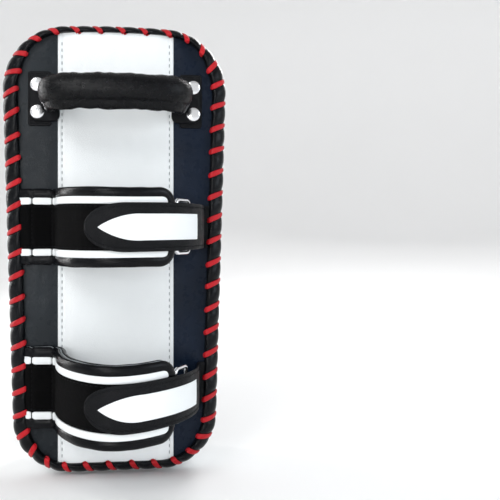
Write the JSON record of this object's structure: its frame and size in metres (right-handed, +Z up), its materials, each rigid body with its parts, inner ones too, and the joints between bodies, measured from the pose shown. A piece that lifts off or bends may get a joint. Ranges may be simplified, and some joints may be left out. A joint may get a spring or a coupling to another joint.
{
  "type": "kick pad",
  "caption": "Kick pad strapped to the forearm: hollowed striking face, white side wall, laced rim, carrying handle, two padded cuffs with hook-and-loop straps and wire rings.",
  "frame": {"origin": "middle of the flat strip on the lower end that the pad stands on", "axes": "+Z up the pad's length to the handle's end, +Y out of the striking face, -Y out of the back, where the handle and the cuffs are, +X towards the straps' sewn ends"},
  "size_m": [0.2008, 0.1708, 0.4],
  "materials": {
    "black_leather": "glossy coated leather, fine grain",
    "white_leather": "smooth satin coated leather",
    "red_lace": "flat coated lace, satin",
    "soft_foam": "soft foam",
    "core_foam": "firm closed-cell foam",
    "board": "firm fibre sheet",
    "lining": "knitted lining",
    "hook_and_loop": "hook and loop tape",
    "bright_metal": "bright nickel plate",
    "plain_steel": "zinc plate"
  },
  "bodies": {
    "pad": {"face_panel": "black_leather", "side_wall_top": "white_leather", "side_wall_lower": "white_leather", "impact_foam": "soft_foam", "core_foam": "core_foam", "backing_board": "board", "back_panel_left": "black_leather", "back_panel_right": "black_leather", "centre_panel": "white_leather", "edge_binding": "black_leather", "lacing": "red_lace", "emblem_rings": "white_leather", "emblem_dot": "red_lace", "handle_patch_left": "black_leather", "handle_patch_right": "black_leather", "handle_tab_left": "black_leather", "handle_tab_right": "black_leather", "handle_rivets": "bright_metal", "rivet_washers": "plain_steel", "upper_cuff_base": "black_leather", "upper_strap_anchor": "black_leather", "lower_cuff_base": "black_leather", "lower_strap_anchor": "black_leather"},
    "handle": {"handle_cover": "black_leather", "handle_core": "core_foam"},
    "upper_cuff": {"upper_cuff_pad": "soft_foam", "upper_cuff_lining": "lining", "upper_cuff_piping": "black_leather", "upper_loop_strip": "hook_and_loop", "upper_white_bands": "white_leather", "upper_ring_loop": "black_leather"},
    "upper_wire_ring": {"upper_ring": "bright_metal"},
    "upper_closing_strap": {"upper_strap": "black_leather", "upper_strap_flash": "white_leather", "upper_hook_patch": "hook_and_loop"},
    "lower_cuff": {"lower_cuff_pad": "soft_foam", "lower_cuff_lining": "lining", "lower_cuff_piping": "black_leather", "lower_loop_strip": "hook_and_loop", "lower_white_bands": "white_leather", "lower_ring_loop": "black_leather"},
    "lower_wire_ring": {"lower_ring": "bright_metal"},
    "lower_closing_strap": {"lower_strap": "black_leather", "lower_strap_flash": "white_leather", "lower_hook_patch": "hook_and_loop"}
  },
  "joints": [
    {"name": "handle_rock", "type": "hinge", "parent": "pad", "child": "handle", "pos_m": [0, -0.0491, 0.3325], "axis": [1, 0, 0], "range_deg": [-15, 15], "stiffness_Nm_per_rad": 0.6},
    {"name": "upper_strap_open", "type": "hinge", "parent": "pad", "child": "upper_closing_strap", "pos_m": [0.07723, -0.038, 0.22], "axis": [0, 0, 1], "range_deg": [0, 80]},
    {"name": "upper_cuff_open", "type": "hinge", "parent": "pad", "child": "upper_cuff", "pos_m": [-0.053, -0.038, 0.22], "axis": [0, 0, -1], "range_deg": [0, 32]},
    {"name": "upper_ring_swing", "type": "hinge", "parent": "upper_cuff", "child": "upper_wire_ring", "pos_m": [0.04879, -0.08389, 0.22], "axis": [0, 0, 1], "range_deg": [0, 50]},
    {"name": "lower_strap_open", "type": "hinge", "parent": "pad", "child": "lower_closing_strap", "pos_m": [0.07305, -0.038, 0.08], "axis": [0, 0, 1], "range_deg": [0, 80]},
    {"name": "lower_cuff_open", "type": "hinge", "parent": "pad", "child": "lower_cuff", "pos_m": [-0.053, -0.038, 0.08], "axis": [0, 0, -1], "range_deg": [0, 32]},
    {"name": "lower_ring_swing", "type": "hinge", "parent": "lower_cuff", "child": "lower_wire_ring", "pos_m": [0.04847, -0.08126, 0.08], "axis": [0, 0, 1], "range_deg": [0, 50]}
  ],
  "couplings": [
    {"joint": "upper_cuff_open", "follows": "upper_strap_open", "ratio": 0.4},
    {"joint": "lower_cuff_open", "follows": "lower_strap_open", "ratio": 0.4}
  ]
}
